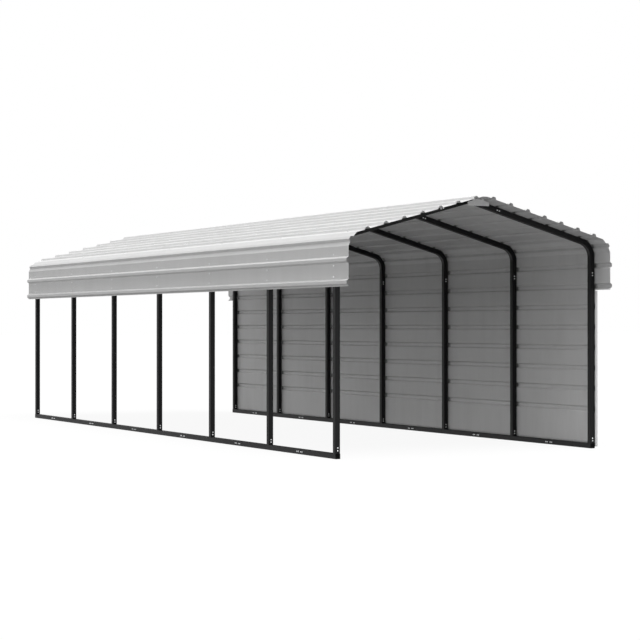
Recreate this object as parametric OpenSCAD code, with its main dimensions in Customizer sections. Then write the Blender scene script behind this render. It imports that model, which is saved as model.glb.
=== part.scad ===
// Open carport: bent square-tube frames on base rails, a lapped ribbed-sheet roof and one sheeted side.
// Origin: middle of the plan, at the underside of the base rails.
// +X points to the sheeted side, -Y to the front gable, +Z up. Millimetres and degrees.

/* [Frame] */
// Width over the outer faces of the legs
frame_w = 3000; // [2600:10:3600]
// Height at which the leg's outer line meets the rafter's top line
eave_h = 2073; // [2000:1:2600]
// Roof pitch
roof_pitch = 15.1; // [10:0.1:20]
// Number of bays in the front kit
front_bays = 2; // [1:1:3]
// Frame spacing in the front kit
front_bay = 1357; // [900:1:1600]
// Frame spacing where the two kits are linked
link_bay = 1400; // [900:1:1600]
// Number of bays in the rear kit
rear_bays = 3; // [1:1:3]
// Frame spacing in the rear kit
rear_bay = 1368; // [900:1:1600]

/* [Tube] */
// Outer size of the square tube
tube = 51; // [40:1:60]
// Wall of the tube
tube_wall = 1.6; // [1.2:0.1:2.5]
// Outer corner radius of the tube
tube_corner = 4; // [3:0.5:8]
// Outer radius of the bends at eave and ridge
bend_r = 190; // [150:1:240]
// Straight leg of each rafter tube, from its eave bend down to the seam with the leg
rafter_leg = 208; // [120:1:320]
// Distance down the slope from the ridge to the seam of the ridge bend
ridge_reach = 306; // [250:1:400]
// Length of the swaged neck that slips into the next tube
neck_len = 90; // [60:1:120]
// Length of the shoulder between a tube and its swaged neck
shoulder = 4; // [2:0.5:8]
// Clearance around a neck inside the next tube
slip = 0.3; // [0.2:0.05:0.6]
// Gap left at each butt seam
seam = 0.4; // [0.2:0.1:0.8]
// Length of the sleeve inside each base-rail splice
splice_len = 150; // [100:5:240]

/* [Sheet] */
// Thickness of the sheet
sheet_t = 0.6; // [0.4:0.05:1]
// Distance from rib to rib along the sheet
rib_pitch = 207; // [190:1:215]
// Width of a rib at its foot
rib_base = 60; // [44:1:70]
// Width of a rib at its crest
rib_top = 28; // [16:1:34]
// Height of a rib
rib_h = 22; // [12:1:28]
// Rib spacing taken up by the eave bend
bend_take = 20; // [0:1:30]
// Ribs of a slope sheet below the ridge sheet's lap
slope_sheet_ribs = 3; // [2:1:4]
// Ribs from the eave bend down to the skirt's hem
skirt_ribs = 3; // [2:1:3]
// Ribs of an upper wall sheet below the skirt's hem
upper_wall_ribs = 4; // [3:1:4]
// Ribs of a lower wall sheet below its lap
lower_wall_ribs = 2; // [1:1:3]
// Flat left beyond a lapped rib
lap_edge = 8; // [4:1:14]
// Length of the end lap over a frame
end_lap = 70; // [44:1:120]
// Clearance between lapped sheets
lap_gap = 0.25; // [0.2:0.05:0.5]
// Clearance between a sheet and the tube it lies on
seat = 0.3; // [0.25:0.05:0.5]
// Reach of the roof beyond the end legs
roof_over = 251; // [120:1:320]
// Reach of the wall beyond the end legs
wall_over = 12; // [4:1:24]
// Height of the wall's lower edge
wall_foot = 18; // [6:1:40]

/* [Fittings] */
// Thickness of the folded trim and of the peak plate
trim_t = 1.2; // [0.8:0.1:2]
// Length of the trim's side flange
trim_flange = 34; // [24:1:60]
// Gap between the skirt's hem and the top of the trim
trim_drop = 6; // [2:1:20]
// Thickness of the rail end cap's flange
cap_t = 3; // [2:0.5:6]
// Depth of the rail end cap's plug
cap_plug = 18; // [10:1:30]
// Width of the peak plate
plate_w = 245; // [160:1:300]
// Height of the peak plate at its sides
plate_side = 36; // [20:1:60]
// Drop of the peak plate below the ridge
plate_drop = 18; // [8:1:40]
// Distance of the peak plate behind the roof's front edge
plate_back = 114; // [40:1:180]
// Width of each hanger of the peak plate
hanger_w = 22; // [14:1:34]
// Length of the flange that holds a hanger to the roof sheet
hanger_flange = 24; // [12:1:50]

/* [Hidden] */
$fn = 64;

// A straight run enters the wall of its bend by run_on, and is finer than it by run_step all round
run_on = tube_wall / 3;
run_step = tube_wall / 50;

frame_black = [0.07, 0.07, 0.07];
cap_black = [0.03, 0.03, 0.03];
sheet_grey = [0.84, 0.84, 0.83];
trim_grey = [0.8, 0.8, 0.79];

// Frame places along Y, front to rear
bays = concat(
    [for (i = [1:front_bays]) front_bay],
    [link_bay],
    [for (i = [1:rear_bays]) rear_bay]
);
frames = len(bays) + 1;
function before(i) = i == 0 ? 0 : before(i - 1) + bays[i - 1];
frames_l = before(frames - 1);
function frame_y(i) = before(i) - frames_l / 2;
front_face = frame_y(0) - tube / 2;
rear_face = frame_y(frames - 1) + tube / 2;

// Tube sizes
bore = tube - 2 * tube_wall;
bore_corner = tube_corner - tube_wall;
neck = bore - 2 * slip;
neck_corner = bore_corner - slip;
neck_bore = neck - 2 * tube_wall;
neck_bore_corner = max(neck_corner - tube_wall, slip);
leg_x = frame_w / 2 - tube / 2;

// The line on which the sheets lie: ridge bend, slope, eave bend, then straight down
ridge_z = eave_h + frame_w / 2 * tan(roof_pitch);
ridge_tan = bend_r * tan(roof_pitch);
eave_tan = bend_r * tan((90 - roof_pitch) / 2);
slope_l = frame_w / 2 / cos(roof_pitch);
ridge_c = [0, ridge_z - bend_r / cos(roof_pitch)];
eave_c = [frame_w / 2 - bend_r, eave_h - eave_tan];
leg_seam_h = eave_c[1] - rafter_leg;
ridge_end = bend_r * roof_pitch * PI / 180;
slope_end = ridge_end + slope_l - ridge_tan - eave_tan;
eave_end = slope_end + bend_r * (90 - roof_pitch) * PI / 180;
slope_start = ridge_c + bend_r * [sin(roof_pitch), cos(roof_pitch)];

// Tilt of that line at the distance s from the ridge
function tilt(s) =
    s < ridge_end ? roof_pitch * s / ridge_end
    : s < slope_end ? roof_pitch
    : s < eave_end ? roof_pitch + (90 - roof_pitch) * (s - slope_end) / (eave_end - slope_end)
    : 90;
function outward(s) = [sin(tilt(s)), cos(tilt(s))];
function spot(s) =
    s < ridge_end ? ridge_c + bend_r * outward(s)
    : s < slope_end ? slope_start + (s - ridge_end) * [cos(roof_pitch), -sin(roof_pitch)]
    : s < eave_end ? eave_c + bend_r * outward(s)
    : [frame_w / 2, eave_c[1] - (s - eave_end)];

// Ribs are counted down from the ridge; the eave bend takes up some of the spacing of bend_ribs of them
bend_ribs = 2;
slope_ribs = round((slope_end - rib_base / 2) / rib_pitch);
function past_bend(k) = min(max(k - slope_ribs, 0), bend_ribs) / bend_ribs;
function rib_at(k) = (k - 1 / 2) * rib_pitch - bend_take * past_bend(k);
slope_lap = slope_ribs - 1;
ridge_lap = slope_lap - slope_sheet_ribs;
hem_lap = slope_ribs + skirt_ribs;
wall_lap = hem_lap + upper_wall_ribs;
lap_reach = rib_base / 2 + lap_edge;
hem_s = rib_at(hem_lap) + lap_reach;
hem_z = spot(hem_s)[1];
wall_foot_s = eave_end + eave_c[1] - wall_foot;
wall_last = wall_lap + lower_wall_ribs;

// A sheet's corner points as [distance from the ridge, height, half the turn of a fold]
function rib_corners(k) = let (c = rib_at(k)) [
    [c - rib_base / 2, 0, 0],
    [c - rib_top / 2, rib_h, 0],
    [c + rib_top / 2, rib_h, 0],
    [c + rib_base / 2, 0, 0]
];
function corners(s0, s1, k0, k1) =
    concat([[s0, 0, 0]], [for (k = [k0:k1]) each rib_corners(k)], [[s1, 0, 0]]);

// Round a bend, the flat between two ribs is folded once, halfway round its part of the bend
function half_turn(a, b) = a[1] + b[1] > 0 ? 0 : (tilt(b[0]) - tilt(a[0])) / 2;
function fold_at(a, b) =
    b[0] < slope_end ? (a[0] + min(b[0], ridge_end)) / 2
    : (max(a[0], slope_end) + min(b[0], eave_end)) / 2;
function folded(a, b) = half_turn(a, b) > 0 ? [a, [fold_at(a, b), 0, half_turn(a, b)]] : [a];
function folded_corners(c) = [
    for (i = [0:len(c) - 1]) each folded(c[i], c[min(i + 1, len(c) - 1)])
];

// One face of a sheet: its foot stands out over the course below, past both levels of its bays
lap_step = sheet_t + lap_gap;
bay_levels = 2;
foot_level = bay_levels + 1 / 4;
function level(c, s) = foot_level * (s - c[0][0]) / (c[len(c) - 1][0] - c[0][0]);
function rise(c, p, bay_level, out) = seat + out + p[1] + lap_step * (bay_level + level(c, p[0]));
function at_fold(height, half) = (bend_r + height) / cos(half) - bend_r;
function face(c, bay_level, out) = [
    for (p = folded_corners(c))
        spot(p[0]) + outward(p[0]) * at_fold(rise(c, p, bay_level, out), p[2])
];
function turned(points) = [for (i = [len(points) - 1:-1:0]) points[i]];
function mirrored(points) = [for (i = [len(points) - 1:-1:1]) [-points[i][0], points[i][1]]];
function outermost(levels) = seat + lap_step * levels + sheet_t + rib_h;

module rounded_square(size, r) {
    square([size, size - 2 * r], center = true);
    square([size - 2 * r, size], center = true);
    for (x = [-1, 1], y = [-1, 1])
        translate([x, y] * (size / 2 - r)) circle(r);
}

module tube_section(step = 0) {
    difference() {
        rounded_square(tube - 2 * step, tube_corner - step);
        rounded_square(bore + 2 * step, bore_corner + step);
    }
}

module neck_section() {
    difference() {
        rounded_square(neck, neck_corner);
        rounded_square(neck_bore, neck_bore_corner);
    }
}

module shoulder_section() {
    difference() {
        rounded_square(tube, tube_corner);
        rounded_square(neck_bore, neck_bore_corner);
    }
}

// A tube of the given length up +Z that ends in a swaged neck
module swaged_tube(length, step = 0) {
    linear_extrude(length - shoulder) tube_section(step);
    translate([0, 0, length - shoulder]) linear_extrude(shoulder) shoulder_section();
    translate([0, 0, length]) linear_extrude(neck_len) neck_section();
}

// The arc of a bend about Y, from angle a0 above +X, centred on c in the XZ plane
module bent_tube(c, a0, turn) {
    translate([c[0], 0, c[1]])
        rotate([90, 0, 0])
            rotate(a0)
                rotate_extrude(angle = turn)
                    translate([bend_r - tube / 2, 0]) tube_section();
}

// Stands +Z along the slope, at the distance d from the ridge, facing down the roof
module on_slope(d) {
    translate([0, 0, ridge_z])
        rotate([0, roof_pitch, 0])
            translate([d, 0, -tube / 2])
                rotate([0, 90, 0]) children();
}

module leg(side, i) {
    color(frame_black)
        translate([side * leg_x, frame_y(i), tube + seam])
            swaged_tube(leg_seam_h - tube - seam);
}

module right_rafter_tube() {
    translate([leg_x, 0, leg_seam_h + seam])
        linear_extrude(eave_c[1] - leg_seam_h - seam + run_on) tube_section(run_step);
    bent_tube(eave_c, 0, 90 - roof_pitch);
    on_slope(ridge_reach)
        linear_extrude(slope_l - eave_tan - ridge_reach + run_on) tube_section(run_step);
}

module rafter(side, i) {
    color(frame_black)
        translate([0, frame_y(i), 0])
            mirror([side < 0 ? 1 : 0, 0, 0]) right_rafter_tube();
}

module ridge_half() {
    on_slope(ridge_tan - run_on) swaged_tube(ridge_reach - seam - ridge_tan + run_on, run_step);
}

module ridge_bends() {
    color(frame_black)
        for (i = [0:frames - 1])
            translate([0, frame_y(i), 0]) {
                bent_tube(ridge_c, 90 - roof_pitch, 2 * roof_pitch);
                ridge_half();
                mirror([1, 0, 0]) ridge_half();
            }
}

function rail_start(i) = i == 0 ? front_face : (frame_y(i - 1) + frame_y(i) + seam) / 2;
function rail_end(i) = i == frames - 1 ? rear_face : (frame_y(i) + frame_y(i + 1) - seam) / 2;

// Base rail sections of one side, each with the stub that its leg slips over
module base_rail(side) {
    color(frame_black)
        for (i = [0:frames - 1]) {
            translate([side * leg_x, rail_end(i), tube / 2])
                rotate([90, 0, 0]) linear_extrude(rail_end(i) - rail_start(i)) tube_section();
            translate([side * leg_x, frame_y(i), tube - tube_wall])
                linear_extrude(tube_wall + neck_len) neck_section();
        }
}

module rail_splices() {
    color(frame_black)
        for (side = [-1, 1], i = [1:frames - 1])
            translate([side * leg_x, rail_start(i) - seam / 2 + splice_len / 2, tube / 2])
                rotate([90, 0, 0]) linear_extrude(splice_len) neck_section();
}

// One plastic cap: a flange over the rail's end and a plug in its bore, facing -Y
module rail_end_cap() {
    rotate([90, 0, 0]) linear_extrude(cap_t) rounded_square(tube, tube_corner);
    translate([0, cap_plug, 0])
        rotate([90, 0, 0]) linear_extrude(cap_plug) neck_section();
}

module rail_end_caps() {
    color(cap_black)
        for (side = [-1, 1]) {
            translate([side * leg_x, front_face, tube / 2]) rail_end_cap();
            translate([side * leg_x, rear_face, tube / 2]) mirror([0, 1, 0]) rail_end_cap();
        }
}

function sheet_start(i, over) = i == 0 ? front_face - over : frame_y(i) - end_lap / 2;
function sheet_end(i, over) = i == frames - 2 ? rear_face + over : frame_y(i + 1) + end_lap / 2;

// Draws one outline per bay along Y; every second sheet lies over its neighbours' ends
module each_bay(over) {
    color(sheet_grey)
        for (i = [0:frames - 2])
            translate([0, sheet_end(i, over), 0])
                rotate([90, 0, 0])
                    linear_extrude(sheet_end(i, over) - sheet_start(i, over)) {
                        $bay_level = i % bay_levels;
                        children();
                    }
}

module sheet_outline(c) {
    polygon(concat(face(c, $bay_level, 0), turned(face(c, $bay_level, sheet_t))));
}

module ridge_outline(c) {
    under = face(c, $bay_level, 0);
    over = face(c, $bay_level, sheet_t);
    polygon(concat(mirrored(under), under, turned(over), turned(mirrored(over))));
}

module ridge_panels() {
    each_bay(roof_over)
        ridge_outline(corners(0, rib_at(ridge_lap) + lap_reach, 1, ridge_lap));
}

module slope_outline() {
    sheet_outline(corners(
        rib_at(ridge_lap) - lap_reach, rib_at(slope_lap) + lap_reach, ridge_lap, slope_lap
    ));
}

module eave_outline() {
    sheet_outline(corners(rib_at(slope_lap) - lap_reach, hem_s, slope_lap, hem_lap));
}

module left_slope_panels() {
    each_bay(roof_over) mirror([1, 0]) slope_outline();
}

module right_slope_panels() {
    each_bay(roof_over) slope_outline();
}

module left_eave_panels() {
    each_bay(roof_over) mirror([1, 0]) eave_outline();
}

module right_eave_panels() {
    each_bay(roof_over) eave_outline();
}

module upper_wall_panels() {
    each_bay(wall_over)
        sheet_outline(corners(
            rib_at(hem_lap) - lap_reach, rib_at(wall_lap) + lap_reach, hem_lap, wall_lap
        ));
}

module lower_wall_panels() {
    each_bay(wall_over)
        sheet_outline(corners(rib_at(wall_lap) - lap_reach, wall_foot_s, wall_lap, wall_last));
}

// Folded strip over the wall's front edge: a face across the ribs and a flange along their crests
module wall_trim() {
    flange_x = frame_w / 2 + outermost(foot_level + bay_levels - 1) + seat;
    face_y = front_face - wall_over - seat - trim_t;
    color(trim_grey)
        translate([0, 0, wall_foot])
            linear_extrude(hem_z - trim_drop - wall_foot) {
                translate([frame_w / 2 + seat, face_y])
                    square([flange_x + trim_t - frame_w / 2 - seat, trim_t]);
                translate([flange_x, face_y]) square([trim_t, trim_flange]);
            }
}

module front_wall_trim() {
    wall_trim();
}

module rear_wall_trim() {
    mirror([0, 1, 0]) wall_trim();
}

// Underside of the roof sheet on the slope, at the distance x from the middle
function under_roof(x) = ridge_z - abs(x) * tan(roof_pitch) - seat;

// Bare gable-topped plate in the front overhang, hung from the ridge sheet by two folded tabs
module peak_plate() {
    half = plate_w / 2;
    top = under_roof(0) - plate_drop;
    shoulder_z = top - half * tan(roof_pitch);
    ridge_fold = bend_r * tan(roof_pitch / 2);
    rib_foot = spot(rib_at(1) - rib_base / 2)[0];
    inner = (ridge_fold + rib_foot - hanger_w) / 2;
    outer = inner + hanger_w;
    fold = trim_t / cos(roof_pitch);
    color(trim_grey)
        translate([0, front_face - roof_over + plate_back, 0])
            rotate([90, 0, 0]) {
                linear_extrude(trim_t)
                    polygon([
                        [0, top],
                        [half, shoulder_z],
                        [half, shoulder_z - plate_side],
                        [-half, shoulder_z - plate_side],
                        [-half, shoulder_z]
                    ]);
                for (m = [0, 1])
                    mirror([m, 0, 0]) {
                        linear_extrude(trim_t)
                            polygon([
                                [inner, shoulder_z],
                                [outer, shoulder_z],
                                [outer, under_roof(outer)],
                                [inner, under_roof(inner)]
                            ]);
                        translate([0, 0, trim_t - hanger_flange])
                            linear_extrude(hanger_flange)
                                polygon([
                                    [inner, under_roof(inner)],
                                    [outer, under_roof(outer)],
                                    [outer, under_roof(outer) - fold],
                                    [inner, under_roof(inner) - fold]
                                ]);
                    }
            }
}

function numbered(name) = [for (i = [1:frames]) str(name, "_", i)];

base_rail(-1);  // left_base_rail
base_rail(1);  // right_base_rail
rail_splices();
rail_end_caps();
for (i = [1:frames]) {
    leg(-1, i - 1);
    leg(1, i - 1);
    rafter(-1, i - 1);
    rafter(1, i - 1);
}
ridge_bends();
ridge_panels();
left_slope_panels();
right_slope_panels();
left_eave_panels();
right_eave_panels();
upper_wall_panels();
lower_wall_panels();
front_wall_trim();
rear_wall_trim();
peak_plate();
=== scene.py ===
"""Dresses the carport: coated tubes, painted ribbed sheets, screws, trims and a plain studio stage."""

import math

import bpy
from mathutils import Matrix, Vector
from mathutils.bvhtree import BVHTree


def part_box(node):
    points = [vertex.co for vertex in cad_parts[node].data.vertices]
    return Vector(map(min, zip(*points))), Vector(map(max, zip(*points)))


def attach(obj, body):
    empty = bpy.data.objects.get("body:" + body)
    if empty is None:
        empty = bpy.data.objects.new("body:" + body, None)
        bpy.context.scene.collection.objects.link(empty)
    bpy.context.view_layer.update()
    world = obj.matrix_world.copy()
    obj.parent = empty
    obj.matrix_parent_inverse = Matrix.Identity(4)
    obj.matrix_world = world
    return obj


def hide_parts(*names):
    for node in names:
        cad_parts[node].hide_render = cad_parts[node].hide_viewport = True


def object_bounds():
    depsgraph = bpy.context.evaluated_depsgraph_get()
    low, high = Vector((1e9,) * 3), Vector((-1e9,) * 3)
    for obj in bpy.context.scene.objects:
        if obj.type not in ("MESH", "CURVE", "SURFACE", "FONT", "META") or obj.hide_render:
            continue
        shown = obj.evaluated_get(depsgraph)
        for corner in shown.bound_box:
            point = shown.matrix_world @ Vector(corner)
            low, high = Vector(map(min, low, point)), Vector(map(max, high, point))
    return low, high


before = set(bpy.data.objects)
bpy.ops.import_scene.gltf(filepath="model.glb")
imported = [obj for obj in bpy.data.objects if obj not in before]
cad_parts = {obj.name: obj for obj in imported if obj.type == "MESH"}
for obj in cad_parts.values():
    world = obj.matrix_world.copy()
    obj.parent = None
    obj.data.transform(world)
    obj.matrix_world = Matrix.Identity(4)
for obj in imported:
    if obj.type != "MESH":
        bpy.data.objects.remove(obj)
CAD_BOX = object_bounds()

bl_info = {
    "name": "Carport Dresser",
    "version": (1, 0, 0),
    "blender": (4, 5, 0),
    "location": "View3D > Sidebar > Carport",
    "description": "Finishes the carport's tubes and sheets and adds its fasteners and stage",
    "category": "Add Mesh",
}

BODY = "root"
LEFT, RIGHT = -1, 1
UP = Vector((0, 0, 1))
TO_FRONT = Vector((0, -1, 0))
TO_LEFT = Vector((-1, 0, 0))
FACING = 0.9  # least share of a normal along an axis, for a face that looks along it
BEND_GAPS = 2  # gaps between ribs that the eave bend spans
WELD = 1e-5
FLAT_WITHIN = math.radians(0.5)
SMOOTH_WITHIN = math.radians(34)
CREASE_TURNS = (math.radians(20), math.radians(80))  # more than a bend's facet, less than a cut edge
HEX_SIDES, SEAL_SIDES, FLANGE_SIDES = 6, 12, 16
END_TURN, SPLICE_TURN, SHEET_TURN = 1.3, 1.1, 0.7  # radians from each screw to the next

SHEET_NODES = (
    "ridge_panels",
    "left_slope_panels",
    "right_slope_panels",
    "left_eave_panels",
    "right_eave_panels",
    "upper_wall_panels",
    "lower_wall_panels",
)
TRIM_NODES = ("front_wall_trim", "rear_wall_trim", "peak_plate")
FRAME_COUNT = sum(name.startswith("left_leg_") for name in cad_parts)
TUBE_NODES = tuple(
    name
    for name in sorted(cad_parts)
    if name.split("_")[1] in ("leg", "rafter", "base") or name in ("ridge_bends", "rail_splices")
)


def leg_box(side, number):
    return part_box(f"{'left' if side == LEFT else 'right'}_leg_{number}")


FRAME_Y = [sum(corner.y for corner in leg_box(LEFT, i + 1)) / 2 for i in range(FRAME_COUNT)]
LEG_X = abs(sum(corner.x for corner in leg_box(LEFT, 1)) / 2)
TUBE = leg_box(LEFT, 1)[1].y - leg_box(LEFT, 1)[0].y
LEG_FOOT_Z = leg_box(LEFT, 1)[0].z
LEG_SEAM_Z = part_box("left_rafter_1")[0].z
HALF_WIDTH = LEG_X + TUBE / 2


class CarportRoof(bpy.types.PropertyGroup):
    """The line that the ribbed sheets follow from the ridge to the wall's foot."""

    eave_height: bpy.props.FloatProperty(
        name="Eave Height",
        description="Height at which the leg's outer line meets the rafter's top line",
        default=2.073,
        unit="LENGTH",
    )
    pitch: bpy.props.FloatProperty(
        name="Roof Pitch", description="Slope of the roof", default=math.radians(15.1), subtype="ANGLE"
    )
    bend_radius: bpy.props.FloatProperty(
        name="Bend Radius", description="Outer radius of the tube bends", default=0.190, unit="LENGTH"
    )
    rib_pitch: bpy.props.FloatProperty(
        name="Rib Pitch",
        description="Distance from rib to rib along the sheet",
        default=0.207,
        unit="LENGTH",
    )
    bend_take: bpy.props.FloatProperty(
        name="Bend Take-up",
        description="Rib spacing taken up by the eave bend",
        default=0.020,
        unit="LENGTH",
    )
    slope_ribs: bpy.props.IntProperty(
        name="Slope Ribs", description="Ribs on one slope above the eave bend", default=7
    )
    skirt_ribs: bpy.props.IntProperty(
        name="Skirt Ribs", description="Ribs from the eave bend to the skirt's hem", default=3
    )
    wall_ribs: bpy.props.IntProperty(
        name="Wall Ribs", description="Ribs on the wall below the skirt's hem", default=6
    )
    crease_radius: bpy.props.FloatProperty(
        name="Crease Radius", description="Rounding of each rolled crease", default=0.002, unit="LENGTH"
    )


class CarportFasteners(bpy.types.PropertyGroup):
    """Screws of the frame and of the sheets."""

    frame_flats: bpy.props.FloatProperty(
        name="Frame Screw Size",
        description="Frame screw head across its flats",
        default=0.0095,
        unit="LENGTH",
    )
    frame_flange: bpy.props.FloatProperty(
        name="Frame Screw Flange",
        description="Radius of a frame screw's flange",
        default=0.0066,
        unit="LENGTH",
    )
    joint_first: bpy.props.FloatProperty(
        name="Joint Setback",
        description="Distance from a tube seam to the first screw",
        default=0.0255,
        unit="LENGTH",
    )
    joint_gap: bpy.props.FloatProperty(
        name="Joint Gap",
        description="Distance between the two screws of a tube end",
        default=0.026,
        unit="LENGTH",
    )
    sheet_flats: bpy.props.FloatProperty(
        name="Sheet Screw Size",
        description="Sheet screw head across its flats",
        default=0.008,
        unit="LENGTH",
    )
    sheet_flange: bpy.props.FloatProperty(
        name="Sheet Screw Washer",
        description="Radius of a sheet screw's washer",
        default=0.0095,
        unit="LENGTH",
    )
    head_height: bpy.props.FloatProperty(
        name="Head Height",
        description="Height of a screw head over its flange",
        default=0.0046,
        unit="LENGTH",
    )
    beside_rib: bpy.props.FloatProperty(
        name="Beside Rib",
        description="Distance from a rib's middle to the screw beside it",
        default=0.052,
        unit="LENGTH",
    )


class CarportFinish(bpy.types.PropertyGroup):
    """Colours of the finishes."""

    sheet_paint: bpy.props.FloatVectorProperty(
        name="Sheet Paint",
        description="Outside of the sheets",
        default=(0.75, 0.75, 0.75),
        size=3,
        subtype="COLOR",
    )
    sheet_backing: bpy.props.FloatVectorProperty(
        name="Sheet Backing",
        description="Inside of the sheets",
        default=(0.79, 0.79, 0.79),
        size=3,
        subtype="COLOR",
    )
    sheet_dust: bpy.props.FloatVectorProperty(
        name="Sheet Dust",
        description="Faint dust on the paint",
        default=(0.61, 0.61, 0.60),
        size=3,
        subtype="COLOR",
    )
    trim_paint: bpy.props.FloatVectorProperty(
        name="Trim Paint",
        description="Folded trims and peak plate",
        default=(0.96, 0.96, 0.96),
        size=3,
        subtype="COLOR",
    )
    # Painted shade: the dark colour laid over the backing where near faces shelter it.
    sheet_corner_shade: bpy.props.FloatVectorProperty(
        name="Sheet Corner Shade",
        description="Painted shade in the backing's corners",
        default=(0.11, 0.11, 0.11),
        size=3,
        subtype="COLOR",
    )
    frame_coat: bpy.props.FloatVectorProperty(
        name="Frame Coat",
        description="Powder coat of the tubes",
        default=(0.006, 0.006, 0.0064),
        size=3,
        subtype="COLOR",
    )
    zinc: bpy.props.FloatVectorProperty(
        name="Zinc",
        description="Plating of the screws",
        default=(0.90, 0.91, 0.92),
        size=3,
        subtype="COLOR",
    )
    rubber: bpy.props.FloatVectorProperty(
        name="Rubber", description="Sealing washers", default=(0.20, 0.20, 0.20), size=3, subtype="COLOR"
    )
    cap_plastic: bpy.props.FloatVectorProperty(
        name="Cap Plastic",
        description="Caps of the base rails",
        default=(0.002, 0.002, 0.002),
        size=3,
        subtype="COLOR",
    )


class CarportStage(bpy.types.PropertyGroup):
    """Camera, floor and light."""

    camera_place: bpy.props.FloatVectorProperty(
        name="Camera Place",
        description="Where the camera stands",
        default=(-9.326, -18.108, 1.234),
        size=3,
        subtype="XYZ",
    )
    camera_yaw: bpy.props.FloatProperty(
        name="Camera Yaw",
        description="Turn of the camera from +Y towards +X",
        default=math.radians(28.742),
        subtype="ANGLE",
    )
    camera_rise: bpy.props.FloatProperty(
        name="Camera Rise",
        description="Tilt of the camera above level",
        default=math.radians(0.201),
        subtype="ANGLE",
    )
    camera_lens: bpy.props.FloatProperty(
        name="Camera Lens", description="Focal length on a 36 mm sensor", default=97.215
    )
    floor_size: bpy.props.FloatProperty(
        name="Floor Size", description="Side of the floor", default=400.0, unit="LENGTH"
    )
    floor_bounce: bpy.props.FloatProperty(
        name="Floor Bounce", description="Share of light that the floor throws back", default=0.23
    )
    floor_pale: bpy.props.FloatProperty(
        name="Floor Pale", description="Colour of the floor's lit part, as it is seen", default=0.95
    )
    floor_white: bpy.props.FloatProperty(
        name="Floor White", description="Share of plain white in the floor, as it is seen", default=0.92
    )
    sky_left: bpy.props.FloatProperty(
        name="Sky Left", description="Strength of the soft light from the left", default=1.01
    )
    sky_right: bpy.props.FloatProperty(
        name="Sky Right", description="Strength of the soft light from the right", default=0.79
    )
    sky_front: bpy.props.FloatProperty(
        name="Sky Front", description="Strength of the soft light from the front", default=0.13
    )
    sky_rear: bpy.props.FloatProperty(
        name="Sky Rear", description="Strength of the soft light from the rear", default=0.79
    )
    sky_top: bpy.props.FloatProperty(
        name="Sky Top", description="Strength of the soft light from the top", default=0.22
    )
    lamp_strength: bpy.props.FloatProperty(
        name="Lamp Strength",
        description="Light of the soft overhead lamp on a face square to it",
        default=0.84,
    )
    lamp_spread: bpy.props.FloatProperty(
        name="Lamp Spread",
        description="Width of the overhead lamp",
        default=math.radians(40),
        subtype="ANGLE",
    )
    lamp_lean: bpy.props.FloatProperty(
        name="Lamp Lean",
        description="Lean of the overhead lamp towards the front",
        default=math.radians(17),
        subtype="ANGLE",
    )


GROUPS = (CarportRoof, CarportFasteners, CarportFinish, CarportStage)
GROUP_NAMES = ("carport_roof", "carport_fasteners", "carport_finish", "carport_stage")


# Selection and small modelling helpers


def deselect_all():
    if bpy.context.object and bpy.context.object.mode != "OBJECT":
        bpy.ops.object.mode_set(mode="OBJECT")
    bpy.ops.object.select_all(action="DESELECT")


def make_active(obj):
    deselect_all()
    obj.select_set(True)
    bpy.context.view_layer.objects.active = obj


def select_faces(obj, wanted):
    """Leaves edit mode with only the wanted faces selected, then enters it again."""
    bpy.ops.object.mode_set(mode="OBJECT")
    mesh = obj.data
    for vert in mesh.vertices:
        vert.select = False
    for edge in mesh.edges:
        edge.select = False
    for face in mesh.polygons:
        face.select = wanted(face)
    bpy.ops.object.mode_set(mode="EDIT")
    bpy.ops.mesh.select_mode(type="FACE")


def select_edges(obj, chosen):
    """Leaves edit mode with only the chosen edge numbers selected, then enters it again."""
    bpy.ops.object.mode_set(mode="EDIT")
    bpy.ops.mesh.select_mode(type="EDGE")
    bpy.ops.mesh.select_all(action="DESELECT")
    bpy.ops.object.mode_set(mode="OBJECT")
    for number in chosen:
        obj.data.edges[number].select = True
    bpy.ops.object.mode_set(mode="EDIT")


def chamfered_prism(name, sides, radius, depth, base_z, rim):
    """A short prism up +Z from base_z, with its upper rim chamfered."""
    deselect_all()
    bpy.ops.mesh.primitive_cylinder_add(
        vertices=sides, radius=radius, depth=depth, location=(0, 0, base_z + depth / 2)
    )
    prism = bpy.context.object
    prism.name = name
    bpy.ops.object.transform_apply(location=True, rotation=True, scale=True)
    bpy.ops.object.mode_set(mode="EDIT")
    select_faces(prism, lambda face: face.normal.z > FACING)
    bpy.ops.mesh.bevel(offset=rim, segments=1, affect="EDGES")
    bpy.ops.object.mode_set(mode="OBJECT")
    return prism


def joined(name, parts):
    """Joins separate objects into one piece with its place in its mesh."""
    deselect_all()
    for part in parts:
        part.select_set(True)
    bpy.context.view_layer.objects.active = parts[0]
    bpy.ops.object.join()
    piece = bpy.context.object
    piece.name = name
    piece.data.name = name
    return piece


def copies(prototype, places):
    """One copy of the prototype, each with its own mesh, at every (point, direction, turn)."""
    made = []
    for point, direction, turn in places:
        copy = prototype.copy()
        copy.data = prototype.data.copy()
        aim = UP.rotation_difference(direction).to_matrix().to_4x4()
        copy.data.transform(Matrix.Translation(point) @ aim @ Matrix.Rotation(turn, 4, "Z"))
        bpy.context.scene.collection.objects.link(copy)
        made.append(copy)
    return made


def scattered(name, prototype, places):
    piece = joined(name, copies(prototype, places))
    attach(piece, BODY)
    return piece


def discard(obj):
    mesh = obj.data
    bpy.data.objects.remove(obj)
    bpy.data.meshes.remove(mesh)


# The roof line


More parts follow.
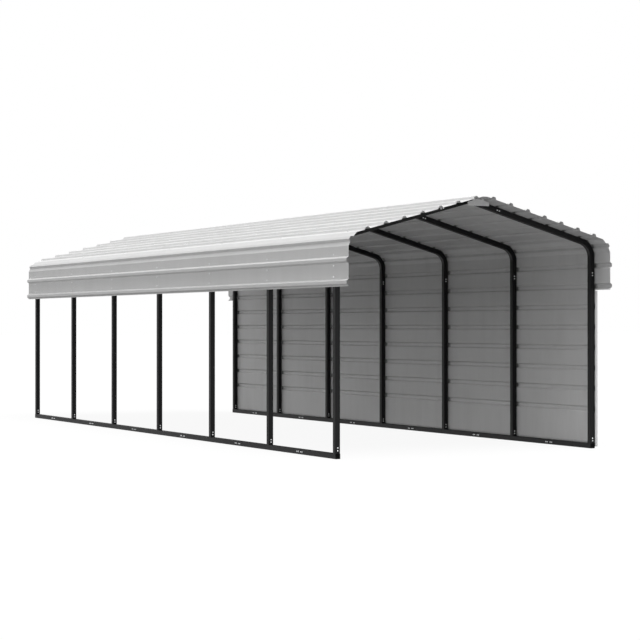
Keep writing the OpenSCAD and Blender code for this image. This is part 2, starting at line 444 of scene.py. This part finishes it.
class RoofLine:
    """Points on the line that the sheets follow, by the distance from the ridge."""

    def __init__(self, roof):
        self.pitch = roof.pitch
        self.radius = roof.bend_radius
        self.rib_pitch = roof.rib_pitch
        self.bend_take = roof.bend_take
        self.slope_ribs = roof.slope_ribs
        self.ridge_z = roof.eave_height + HALF_WIDTH * math.tan(self.pitch)
        eave_tangent = self.radius * math.tan((math.pi / 2 - self.pitch) / 2)
        self.ridge_end = self.radius * self.pitch
        self.slope_end = (
            self.ridge_end
            + HALF_WIDTH / math.cos(self.pitch)
            - self.radius * math.tan(self.pitch)
            - eave_tangent
        )
        self.eave_end = self.slope_end + self.radius * (math.pi / 2 - self.pitch)
        self.eave_centre = (HALF_WIDTH - self.radius, roof.eave_height - eave_tangent)

    def rib(self, number):
        past_bend = min(max(number - self.slope_ribs, 0), BEND_GAPS)
        return (number - 0.5) * self.rib_pitch - self.bend_take * past_bend / BEND_GAPS

    def tilt(self, distance):
        if distance < self.ridge_end:
            return self.pitch * distance / self.ridge_end
        if distance < self.slope_end:
            return self.pitch
        return min(self.pitch + (distance - self.slope_end) / self.radius, math.pi / 2)

    def at(self, distance, side, y):
        """The point on the line and its outward direction."""
        tilt = self.tilt(distance)
        out = Vector((math.sin(tilt), 0, math.cos(tilt)))
        if distance < self.ridge_end:
            centre = Vector((0, 0, self.ridge_z - self.radius / math.cos(self.pitch)))
            point = centre + out * self.radius
        elif distance < self.slope_end:
            run = distance - self.ridge_end + self.radius * math.tan(self.pitch)
            point = Vector((run * math.cos(self.pitch), 0, self.ridge_z - run * math.sin(self.pitch)))
        elif distance < self.eave_end:
            point = Vector((self.eave_centre[0], 0, self.eave_centre[1])) + out * self.radius
        else:
            point = Vector((HALF_WIDTH, 0, self.eave_centre[1] - (distance - self.eave_end)))
        return Vector((side * point.x, y, point.z)), Vector((side * out.x, 0, out.z))


# Shared shader effects


def group_with(name, inputs, outputs):
    """An empty shader node group with named float or vector sockets, and its two end nodes."""
    group = bpy.data.node_groups.new(name, "ShaderNodeTree")
    for label, kind in inputs:
        group.interface.new_socket(label, in_out="INPUT", socket_type=kind)
    for label, kind in outputs:
        group.interface.new_socket(label, in_out="OUTPUT", socket_type=kind)
    return group, group.nodes.new("NodeGroupInput"), group.nodes.new("NodeGroupOutput")


def add_node(tree, kind, values=None, **settings):
    """A node with its settings and its unlinked input values."""
    made = tree.nodes.new(kind)
    for key, value in settings.items():
        setattr(made, key, value)
    for key, value in (values or {}).items():
        made.inputs[key].default_value = value
    return made


FLOAT, VECTOR = "NodeSocketFloat", "NodeSocketVector"
# Sockets of a Mix node, whose names repeat from type to type
FACTOR = 0
FLOAT_A, FLOAT_B, FLOAT_MIXED = 2, 3, 0
COLOUR_A, COLOUR_B, COLOUR_MIXED = 6, 7, 2


def orange_peel_group():
    """Fine ripple of sprayed or rolled paint over the slow wave of a thin sheet."""
    group, start, end = group_with(
        "orange_peel",
        [("Vector", VECTOR), ("Peel Scale", FLOAT), ("Wave Scale", FLOAT), ("Wave Share", FLOAT)],
        [("Height", FLOAT)],
    )
    link = group.links.new
    peel = add_node(group, "ShaderNodeTexNoise", {"Detail": 2.0, "Roughness": 0.5})
    wave = add_node(group, "ShaderNodeTexNoise", {"Detail": 1.0, "Roughness": 0.4})
    blend = add_node(group, "ShaderNodeMix", data_type="FLOAT")
    link(start.outputs["Vector"], peel.inputs["Vector"])
    link(start.outputs["Vector"], wave.inputs["Vector"])
    link(start.outputs["Peel Scale"], peel.inputs["Scale"])
    link(start.outputs["Wave Scale"], wave.inputs["Scale"])
    link(start.outputs["Wave Share"], blend.inputs[FACTOR])
    link(peel.outputs[0], blend.inputs[FLOAT_A])
    link(wave.outputs[0], blend.inputs[FLOAT_B])
    link(blend.outputs[FLOAT_MIXED], end.inputs["Height"])
    return group


def dust_runs_group():
    """Faint vertical runs and patches that rain leaves on a surface."""
    group, start, end = group_with(
        "dust_runs", [("Vector", VECTOR), ("Run Scale", FLOAT), ("Patch Scale", FLOAT)], [("Mask", FLOAT)]
    )
    link = group.links.new
    stretch = add_node(group, "ShaderNodeMapping", {"Scale": (1.0, 1.0, 0.12)})
    runs = add_node(group, "ShaderNodeTexNoise", {"Detail": 3.0, "Roughness": 0.6})
    patches = add_node(group, "ShaderNodeTexNoise", {"Detail": 4.0, "Roughness": 0.55})
    both = add_node(group, "ShaderNodeMath", operation="MULTIPLY")
    spread = add_node(
        group, "ShaderNodeMapRange", {"From Min": 0.18, "From Max": 0.42, "To Min": 0.0, "To Max": 1.0}
    )
    link(start.outputs["Vector"], stretch.inputs["Vector"])
    link(stretch.outputs[0], runs.inputs["Vector"])
    link(start.outputs["Vector"], patches.inputs["Vector"])
    link(start.outputs["Run Scale"], runs.inputs["Scale"])
    link(start.outputs["Patch Scale"], patches.inputs["Scale"])
    link(runs.outputs[0], both.inputs[0])
    link(patches.outputs[0], both.inputs[1])
    link(both.outputs[0], spread.inputs["Value"])
    link(spread.outputs[0], end.inputs["Mask"])
    return group


def speckle_group():
    """Close speckle for powder coat, cast plastic and plating."""
    group, start, end = group_with(
        "speckle", [("Vector", VECTOR), ("Scale", FLOAT)], [("Height", FLOAT), ("Mask", FLOAT)]
    )
    link = group.links.new
    grains = add_node(group, "ShaderNodeTexVoronoi", {"Randomness": 1.0}, feature="SMOOTH_F1")
    cloud = add_node(group, "ShaderNodeTexNoise", {"Scale": 14.0, "Detail": 5.0, "Roughness": 0.6})
    link(start.outputs["Vector"], grains.inputs["Vector"])
    link(start.outputs["Scale"], grains.inputs["Scale"])
    link(start.outputs["Vector"], cloud.inputs["Vector"])
    link(grains.outputs["Distance"], end.inputs["Height"])
    link(cloud.outputs[0], end.inputs["Mask"])
    return group


def corner_shade_group():
    """Patchy mask of painted shade in the corners that near faces shelter, taken from ambient occlusion."""
    group, start, end = group_with("corner_shade", [("Vector", VECTOR), ("Reach", FLOAT)], [("Mask", FLOAT)])
    link = group.links.new
    open_share = add_node(group, "ShaderNodeAmbientOcclusion", samples=8)
    shelter = add_node(
        group, "ShaderNodeMapRange", {"From Min": 0.74, "From Max": 0.25, "To Min": 0.0, "To Max": 1.0}
    )
    patches = add_node(group, "ShaderNodeTexNoise", {"Scale": 6.0, "Detail": 3.0, "Roughness": 0.5})
    spread = add_node(
        group, "ShaderNodeMapRange", {"From Min": 0.35, "From Max": 0.65, "To Min": 0.75, "To Max": 1.0}
    )
    both = add_node(group, "ShaderNodeMath", operation="MULTIPLY")
    link(start.outputs["Reach"], open_share.inputs["Distance"])
    link(open_share.outputs["AO"], shelter.inputs["Value"])
    link(start.outputs["Vector"], patches.inputs["Vector"])
    link(patches.outputs[0], spread.inputs["Value"])
    link(shelter.outputs[0], both.inputs[0])
    link(spread.outputs[0], both.inputs[1])
    link(both.outputs[0], end.inputs["Mask"])
    return group


def effect(name):
    """A shared effect group, built the first time that it is asked for."""
    makers = {
        "orange_peel": orange_peel_group,
        "dust_runs": dust_runs_group,
        "speckle": speckle_group,
        "corner_shade": corner_shade_group,
    }
    return bpy.data.node_groups.get(name) or makers[name]()


class Finish:
    """A material with a Principled shader, and short ways to add to it."""

    def __init__(self, name, **sockets):
        self.material = bpy.data.materials.new(name)
        self.material.use_nodes = True
        self.tree = self.material.node_tree
        self.shader = self.tree.nodes["Principled BSDF"]
        self.place = self.tree.nodes.new("ShaderNodeTexCoord").outputs["Object"]
        for key, value in sockets.items():
            self.shader.inputs[key.replace("_", " ")].default_value = value

    def use(self, name, **values):
        made = add_node(self.tree, "ShaderNodeGroup")
        made.node_tree = effect(name)
        self.tree.links.new(self.place, made.inputs["Vector"])
        for key, value in values.items():
            made.inputs[key.replace("_", " ")].default_value = value
        return made

    def colours(self, mask, low, high, amount=1.0):
        """Base colour from low to high by a mask."""
        reach = add_node(self.tree, "ShaderNodeMath", operation="MULTIPLY")
        reach.inputs[1].default_value = amount
        mix = add_node(self.tree, "ShaderNodeMix", data_type="RGBA")
        mix.inputs[COLOUR_A].default_value = (*low, 1)
        mix.inputs[COLOUR_B].default_value = (*high, 1)
        self.tree.links.new(mask, reach.inputs[0])
        self.tree.links.new(reach.outputs[0], mix.inputs[FACTOR])
        self.tree.links.new(mix.outputs[COLOUR_MIXED], self.shader.inputs["Base Color"])

    def paint_shade(self, mask, colour):
        """Painted shade of one colour over the base colour, by a mask."""
        base = self.shader.inputs["Base Color"]
        mix = add_node(self.tree, "ShaderNodeMix", data_type="RGBA")
        mix.inputs[COLOUR_B].default_value = (*colour, 1)
        self.tree.links.new(base.links[0].from_socket, mix.inputs[COLOUR_A])
        self.tree.links.new(mask, mix.inputs[FACTOR])
        self.tree.links.new(mix.outputs[COLOUR_MIXED], base)

    def roughness(self, mask, low, high):
        spread = add_node(self.tree, "ShaderNodeMapRange", {"To Min": low, "To Max": high})
        self.tree.links.new(mask, spread.inputs["Value"])
        self.tree.links.new(spread.outputs[0], self.shader.inputs["Roughness"])

    def bump(self, height, depth):
        made = add_node(self.tree, "ShaderNodeBump", {"Strength": 1.0, "Distance": depth})
        self.tree.links.new(height, made.inputs["Height"])
        self.tree.links.new(made.outputs["Normal"], self.shader.inputs["Normal"])


def sheet_finish(name, paint, dust, dust_amount, rough, shine, shade_colour=None):
    """Rolled paint with faint dust in runs, and painted shade in its corners where a colour for it is
    given.
    """
    finish = Finish(name, Specular_IOR_Level=shine)
    runs = finish.use("dust_runs", Run_Scale=9.0, Patch_Scale=1.7)
    peel = finish.use("orange_peel", Peel_Scale=420.0, Wave_Scale=2.6, Wave_Share=0.5)
    finish.colours(runs.outputs["Mask"], paint, dust, dust_amount)
    if shade_colour:
        # Painted shade: the colour darkens corners and grooves by ambient occlusion.
        finish.paint_shade(finish.use("corner_shade", Reach=0.05).outputs["Mask"], shade_colour)
    finish.roughness(runs.outputs["Mask"], *rough)
    finish.bump(peel.outputs["Height"], depth=0.0016)
    return finish.material


def coat_finish(name, colour, worn, scale, rough, depth, shine=0.2):
    """Speckled coat, clouded between its colour and that colour times worn."""
    worn_colour = tuple(min(1.0, c * worn) for c in colour)
    finish = Finish(name, Specular_IOR_Level=shine)
    speckle = finish.use("speckle", Scale=scale)
    finish.colours(speckle.outputs["Mask"], tuple(colour), worn_colour)
    finish.roughness(speckle.outputs["Mask"], *rough)
    finish.bump(speckle.outputs["Height"], depth)
    return finish.material


def finishes():
    """Every material of the carport, made once and then found by name."""
    if "frame_powder_coat" in bpy.data.materials:
        return bpy.data.materials
    look = bpy.context.scene.carport_finish
    dust, shade_colour = tuple(look.sheet_dust), tuple(look.sheet_corner_shade)
    paint, backing, trim = tuple(look.sheet_paint), tuple(look.sheet_backing), tuple(look.trim_paint)
    sheet_finish("sheet_paint", paint, dust, dust_amount=0.18, rough=(0.5, 0.62), shine=0.05)
    # The backing gets painted shade in its sheltered corners and grooves.
    sheet_finish(
        "sheet_backing", backing, dust, dust_amount=0.25, rough=(0.3, 0.42), shine=0.14, shade_colour=shade_colour
    )
    sheet_finish("trim_paint", trim, dust, dust_amount=0.1, rough=(0.4, 0.5), shine=0.5)
    coat_finish(
        "frame_powder_coat", look.frame_coat, worn=1.7, scale=700.0, rough=(0.45, 0.6), depth=0.00025
    )
    coat_finish(
        "moulded_plastic",
        look.cap_plastic,
        worn=1.8,
        scale=1100.0,
        rough=(0.4, 0.5),
        depth=0.0002,
        shine=0.05,
    )
    coat_finish("washer_rubber", look.rubber, worn=1.5, scale=1500.0, rough=(0.7, 0.85), depth=0.0002)
    plating = coat_finish(
        "zinc_plating", look.zinc, worn=0.8, scale=900.0, rough=(0.34, 0.48), depth=0.00005
    )
    plating.node_tree.nodes["Principled BSDF"].inputs["Metallic"].default_value = 1.0
    return bpy.data.materials


def coat_node(node, material):
    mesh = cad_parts[node].data
    mesh.materials.clear()
    mesh.materials.append(material)


class CARPORT_OT_coat_frame(bpy.types.Operator):
    """Coats the tubes, the rail caps and the folded trims"""

    bl_idname = "carport.coat_frame"
    bl_label = "Coat Frame"

    def execute(self, context):
        for node in TUBE_NODES:
            coat_node(node, finishes()["frame_powder_coat"])
        coat_node("rail_end_caps", finishes()["moulded_plastic"])
        for node in TRIM_NODES:
            coat_node(node, finishes()["trim_paint"])
        return {"FINISHED"}


# Ribbed sheets


def creases(mesh):
    """Numbers of the edges along Y that the rolls crease."""
    least, most = CREASE_TURNS
    parallel = 0.999
    faces_of = {}
    for face in mesh.polygons:
        for key in face.edge_keys:
            faces_of.setdefault(key, []).append(face)
    found = []
    for edge in mesh.edges:
        near = faces_of.get(edge.key, [])
        run = mesh.vertices[edge.vertices[1]].co - mesh.vertices[edge.vertices[0]].co
        if len(near) == 2 and abs(run.normalized().y) > parallel:
            if least < near[0].normal.angle(near[1].normal) < most:
                found.append(edge.index)
    return found


def looks_in(face):
    """True on the inside of the shelter."""
    middle = Vector((0, face.center.y, CAD_BOX[1].z / 2))
    return face.normal.dot(face.center - middle) < 0


def sheet_skin(node, crease_radius):
    """A welded copy of a sheet node with rolled creases, paint outside and backing inside."""
    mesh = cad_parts[node].data.copy()
    skin = bpy.data.objects.new(f"{node}_skin", mesh)
    mesh.name = skin.name
    bpy.context.scene.collection.objects.link(skin)
    make_active(skin)
    bpy.ops.mesh.customdata_custom_splitnormals_clear()
    bpy.ops.object.mode_set(mode="EDIT")
    bpy.ops.mesh.select_all(action="SELECT")
    bpy.ops.mesh.remove_doubles(threshold=WELD)
    bpy.ops.mesh.dissolve_limited(angle_limit=FLAT_WITHIN)
    bpy.ops.object.mode_set(mode="OBJECT")
    select_edges(skin, creases(mesh))
    bpy.ops.mesh.bevel(offset=crease_radius, segments=3, affect="EDGES", clamp_overlap=False)
    bpy.ops.object.mode_set(mode="OBJECT")
    bpy.ops.object.shade_smooth_by_angle(angle=SMOOTH_WITHIN)
    flat_first = skin.modifiers.new("flat_first", "WEIGHTED_NORMAL")
    flat_first.weight = 100
    flat_first.keep_sharp = True
    bpy.ops.object.modifier_apply(modifier=flat_first.name)
    mesh.materials.clear()
    mesh.materials.append(finishes()["sheet_paint"])
    mesh.materials.append(finishes()["sheet_backing"])
    for face in mesh.polygons:
        face.material_index = int(looks_in(face))
    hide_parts(node)
    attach(skin, BODY)
    return skin


class CARPORT_OT_sheet_skins(bpy.types.Operator):
    """Rolls the creases of the roof and wall sheets and paints both their sides"""

    bl_idname = "carport.sheet_skins"
    bl_label = "Sheet Skins"

    def execute(self, context):
        for node in SHEET_NODES:
            sheet_skin(node, context.scene.carport_roof.crease_radius)
        return {"FINISHED"}


# Frame screws


def flanged_head(flats, flange, base_z, height):
    """A hex head with a chamfered crown on its flange, up +Z from base_z."""
    flange_t, flange_rim, head_rim = 0.0011, 0.0005, 0.0009
    corner = flats / math.sqrt(3)
    skirt = chamfered_prism("flange", FLANGE_SIDES, flange, flange_t, base_z, flange_rim)
    head = chamfered_prism("head", HEX_SIDES, corner, height, base_z + flange_t, head_rim)
    for part in (skirt, head):
        part.data.materials.append(finishes()["zinc_plating"])
    return joined("flanged_head", [skirt, head])


def tube_end_points(sizes):
    """The two screw places of every tube end, on the middle line of its tube."""
    line = RoofLine(bpy.context.scene.carport_roof)
    slope_out = Vector((math.sin(line.pitch), 0, math.cos(line.pitch)))
    down_slope = Vector((math.cos(line.pitch), 0, -math.sin(line.pitch)))
    ridge_middle = Vector((0, 0, line.ridge_z)) - slope_out * TUBE / 2
    ridge_seam = (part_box("right_rafter_1")[0].x + TUBE * math.sin(line.pitch)) / math.cos(line.pitch)
    points = []
    for y in FRAME_Y:
        for side in (LEFT, RIGHT):
            for step in (sizes.joint_first, sizes.joint_first + sizes.joint_gap):
                points.append(Vector((side * LEG_X, y, LEG_FOOT_Z + step)))
                points.append(Vector((side * LEG_X, y, LEG_SEAM_Z + step)))
                on_rafter = ridge_middle + down_slope * (ridge_seam + step)
                points.append(Vector((side * on_rafter.x, y, on_rafter.z)))
    return points


def splice_points(sizes):
    """The four screw places of every base-rail splice, two on each side of its seam."""
    steps = (sizes.joint_first, sizes.joint_first + sizes.joint_gap)
    points = []
    for side in (LEFT, RIGHT):
        for front, rear in zip(FRAME_Y, FRAME_Y[1:]):
            for step in (-steps[1], -steps[0], steps[0], steps[1]):
                points.append(Vector((side * LEG_X - TUBE / 2, (front + rear) / 2 + step, TUBE / 2)))
    return points


class CARPORT_OT_frame_screws(bpy.types.Operator):
    """Screws the tube ends together at the feet, leg tops, ridge joints and rail splices"""

    bl_idname = "carport.frame_screws"
    bl_label = "Frame Screws"

    def execute(self, context):
        sizes = context.scene.carport_fasteners
        screw = flanged_head(sizes.frame_flats, sizes.frame_flange, 0, sizes.head_height)
        half = Vector((0, TUBE / 2, 0))
        ends = [(p - half, TO_FRONT, END_TURN * i) for i, p in enumerate(tube_end_points(sizes))]
        splices = [(p, TO_LEFT, SPLICE_TURN * i) for i, p in enumerate(splice_points(sizes))]
        scattered("tube_end_screws", screw, ends)
        scattered("rail_splice_screws", screw, splices)
        discard(screw)
        return {"FINISHED"}


# Sheet screws


def sheet_screw(sizes):
    """A hex head and its metal washer on a rubber seal, up +Z from the sheet."""
    seal_t, seal_rim, seal_share = 0.0018, 0.0004, 0.86
    seal = chamfered_prism("seal", SEAL_SIDES, sizes.sheet_flange * seal_share, seal_t, 0, seal_rim)
    seal.data.materials.append(finishes()["washer_rubber"])
    head = flanged_head(sizes.sheet_flats, sizes.sheet_flange, seal_t, sizes.head_height)
    return joined("sheet_screw", [seal, head])


def sheet_surface():
    """A search tree over the outside of all the sheet skins."""
    points, faces = [], []
    for node in SHEET_NODES:
        mesh = bpy.data.objects[f"{node}_skin"].data
        first = len(points)
        points += [v.co.copy() for v in mesh.vertices]
        faces += [tuple(first + v for v in face.vertices) for face in mesh.polygons]
    return BVHTree.FromPolygons(points, faces)


def seated(surface, point, out):
    """The place on the outermost sheet over a point of the roof line."""
    reach = 0.2
    place, normal, _, _ = surface.ray_cast(point + out * reach, -out, 2 * reach)
    if place is None:
        raise RuntimeError(f"no sheet at {tuple(point)}")
    return place, normal


def screw_distances(roof, sizes):
    """Distances from the ridge of the screws on the roof, and of those on the wall."""
    line = RoofLine(roof)
    hem = roof.slope_ribs + roof.skirt_ribs
    slope = [line.rib(k) + sizes.beside_rib for k in range(1, roof.slope_ribs + 1)]
    skirt = [
        line.rib(hem - 1) - sizes.beside_rib,
        line.rib(hem - 1) + sizes.beside_rib,
        line.rib(hem) - sizes.beside_rib,
    ]
    wall = [line.rib(hem + k) - sizes.beside_rib for k in range(1, roof.wall_ribs + 1)]
    wall += [line.rib(hem + roof.wall_ribs) + sizes.beside_rib]
    wall += [line.eave_end + line.eave_centre[1] - TUBE / 2]
    return slope + skirt, wall


class CARPORT_OT_sheet_screws(bpy.types.Operator):
    """Screws the sheets to the frames, beside their ribs"""

    bl_idname = "carport.sheet_screws"
    bl_label = "Sheet Screws"

    def execute(self, context):
        roof, sizes = context.scene.carport_roof, context.scene.carport_fasteners
        line, surface = RoofLine(roof), sheet_surface()
        on_roof, on_wall = screw_distances(roof, sizes)
        screw = sheet_screw(sizes)
        rows = [("left_roof_screws", LEFT, on_roof), ("right_roof_screws", RIGHT, on_roof)]
        rows.append(("wall_screws", RIGHT, on_wall))
        for name, side, distances in rows:
            places = []
            for y in FRAME_Y:
                for i, distance in enumerate(distances):
                    point, out = line.at(distance, side, y)
                    place, normal = seated(surface, point, out)
                    places.append((place, normal, SHEET_TURN * i + y))
            scattered(name, screw, places)
        discard(screw)
        return {"FINISHED"}


# Stage


def white_to_the_eye(tree, lit, white):
    """The lit closure for light that falls on it, and the white one for what the camera or a gloss sees."""
    path = tree.nodes.new("ShaderNodeLightPath")
    seen = add_node(tree, "ShaderNodeMath", operation="MAXIMUM")
    shown = add_node(tree, "ShaderNodeMath", operation="MAXIMUM")
    mix = tree.nodes.new("ShaderNodeMixShader")
    link = tree.links.new
    link(path.outputs["Is Camera Ray"], seen.inputs[0])
    link(path.outputs["Is Glossy Ray"], seen.inputs[1])
    link(seen.outputs[0], shown.inputs[0])
    link(path.outputs["Is Transmission Ray"], shown.inputs[1])
    link(shown.outputs[0], mix.inputs[0])
    link(lit, mix.inputs[1])
    link(white, mix.inputs[2])
    return mix.outputs[0]


def floor_finish(stage):
    """Pale floor that throws back little light, and looks nearly white with a soft shadow."""
    material = bpy.data.materials.new("stage_floor")
    material.use_nodes = True
    tree = material.node_tree
    tree.nodes.remove(tree.nodes["Principled BSDF"])
    output = tree.nodes["Material Output"]
    lit = add_node(tree, "ShaderNodeBsdfDiffuse", {"Color": (*[stage.floor_bounce] * 3, 1)})
    pale = add_node(tree, "ShaderNodeBsdfDiffuse", {"Color": (*[stage.floor_pale] * 3, 1)})
    glow = add_node(tree, "ShaderNodeEmission", {"Color": (1, 1, 1, 1), "Strength": 1.0})
    white = tree.nodes.new("ShaderNodeMixShader")
    white.inputs[0].default_value = stage.floor_white
    tree.links.new(pale.outputs[0], white.inputs[1])
    tree.links.new(glow.outputs[0], white.inputs[2])
    seen = white_to_the_eye(tree, lit.outputs[0], white.outputs[0])
    tree.links.new(seen, output.inputs["Surface"])
    return material


def switch(tree, value, below, above):
    """One number where the value is below zero, and another where it is above."""
    edge = 0.01
    made = add_node(
        tree, "ShaderNodeMapRange", {"From Min": -edge, "From Max": edge, "To Min": below, "To Max": above}
    )
    tree.links.new(value, made.inputs["Value"])
    return made.outputs[0]


def soft_sky(stage):
    """White light with its own strength from each side and from above, and a white background."""
    world = bpy.data.worlds.new("stage_sky")
    bpy.context.scene.world = world
    world.use_nodes = True
    tree = world.node_tree
    link = tree.links.new
    lit = tree.nodes["Background"]
    lit.inputs["Color"].default_value = (1, 1, 1, 1)
    place = tree.nodes.new("ShaderNodeTexCoord")
    split = tree.nodes.new("ShaderNodeSeparateXYZ")
    across = add_node(tree, "ShaderNodeMath", operation="MULTIPLY")
    along = add_node(tree, "ShaderNodeMath", operation="MULTIPLY")
    level = add_node(tree, "ShaderNodeMath", operation="ADD")
    along_share = add_node(tree, "ShaderNodeMath", operation="DIVIDE")
    sides = switch(tree, split.outputs["X"], stage.sky_left, stage.sky_right)
    ends = switch(tree, split.outputs["Y"], stage.sky_front, stage.sky_rear)
    ring = add_node(tree, "ShaderNodeMix", data_type="FLOAT")
    height = add_node(
        tree,
        "ShaderNodeMapRange",
        {"From Min": 0.35, "From Max": 0.85, "To Min": 0.0, "To Max": 1.0},
        interpolation_type="SMOOTHSTEP",
    )
    dome = add_node(tree, "ShaderNodeMix", data_type="FLOAT")
    dome.inputs[FLOAT_B].default_value = stage.sky_top
    link(place.outputs["Generated"], split.inputs[0])
    for axis, square in (("X", across), ("Y", along)):
        link(split.outputs[axis], square.inputs[0])
        link(split.outputs[axis], square.inputs[1])
        link(square.outputs[0], level.inputs["XY".index(axis)])
    link(along.outputs[0], along_share.inputs[0])
    link(level.outputs[0], along_share.inputs[1])
    link(along_share.outputs[0], ring.inputs[FACTOR])
    link(sides, ring.inputs[FLOAT_A])
    link(ends, ring.inputs[FLOAT_B])
    link(split.outputs["Z"], height.inputs["Value"])
    link(height.outputs[0], dome.inputs[FACTOR])
    link(ring.outputs[FLOAT_MIXED], dome.inputs[FLOAT_A])
    link(dome.outputs[FLOAT_MIXED], lit.inputs["Strength"])
    white = add_node(tree, "ShaderNodeBackground", {"Color": (1, 1, 1, 1), "Strength": 1.0})
    seen = white_to_the_eye(tree, lit.outputs[0], white.outputs[0])
    link(seen, tree.nodes["World Output"].inputs["Surface"])


def overhead_lamp(stage):
    """A wide soft lamp that shines down and a little from the front."""
    lamp = bpy.data.lights.new("overhead_lamp", "SUN")
    lamp.energy = math.pi * stage.lamp_strength
    lamp.angle = stage.lamp_spread
    holder = bpy.data.objects.new("overhead_lamp", lamp)
    holder.rotation_euler = (stage.lamp_lean, 0, 0)
    holder.location = (0, 0, 2 * CAD_BOX[1].z)
    bpy.context.scene.collection.objects.link(holder)


class CARPORT_OT_stage(bpy.types.Operator):
    """Sets the floor, the soft sky, the lamp and the camera"""

    bl_idname = "carport.stage"
    bl_label = "Stage"

    def execute(self, context):
        stage = context.scene.carport_stage
        deselect_all()
        bpy.ops.mesh.primitive_plane_add(size=stage.floor_size, location=(0, 0, 0))
        floor = context.object
        floor.name = "stage_floor"
        floor.data.materials.append(floor_finish(stage))
        soft_sky(stage)
        overhead_lamp(stage)
        lens = bpy.data.cameras.new("photo_camera")
        lens.lens = stage.camera_lens
        lens.sensor_width = 36.0
        lens.clip_end = 1000.0
        camera = bpy.data.objects.new("photo_camera", lens)
        camera.location = stage.camera_place
        camera.rotation_euler = (math.pi / 2 + stage.camera_rise, 0, -stage.camera_yaw)
        context.scene.collection.objects.link(camera)
        context.scene.camera = camera
        context.scene.view_settings.view_transform = "Standard"
        return {"FINISHED"}


OPERATORS = (
    CARPORT_OT_coat_frame,
    CARPORT_OT_sheet_skins,
    CARPORT_OT_frame_screws,
    CARPORT_OT_sheet_screws,
    CARPORT_OT_stage,
)


class CARPORT_PT_panel(bpy.types.Panel):
    """Lists the carport's steps and its sizes"""

    bl_idname = "CARPORT_PT_panel"
    bl_label = "Carport"
    bl_space_type = "VIEW_3D"
    bl_region_type = "UI"
    bl_category = "Carport"

    def draw(self, context):
        for operator in OPERATORS:
            self.layout.operator(operator.bl_idname)
        for group in GROUP_NAMES:
            box = self.layout.box()
            settings = getattr(context.scene, group)
            for key in settings.__annotations__:
                box.prop(settings, key)


CLASSES = (*GROUPS, *OPERATORS, CARPORT_PT_panel)


def register():
    for cls in CLASSES:
        bpy.utils.register_class(cls)
    for name, group in zip(GROUP_NAMES, GROUPS):
        setattr(bpy.types.Scene, name, bpy.props.PointerProperty(type=group))


def unregister():
    for name in GROUP_NAMES:
        delattr(bpy.types.Scene, name)
    for cls in reversed(CLASSES):
        bpy.utils.unregister_class(cls)


def main():
    register()
    bpy.ops.carport.coat_frame()
    bpy.ops.carport.sheet_skins()
    bpy.ops.carport.frame_screws()
    bpy.ops.carport.sheet_screws()
    bpy.ops.carport.stage()


if __name__ == "__main__":
    main()
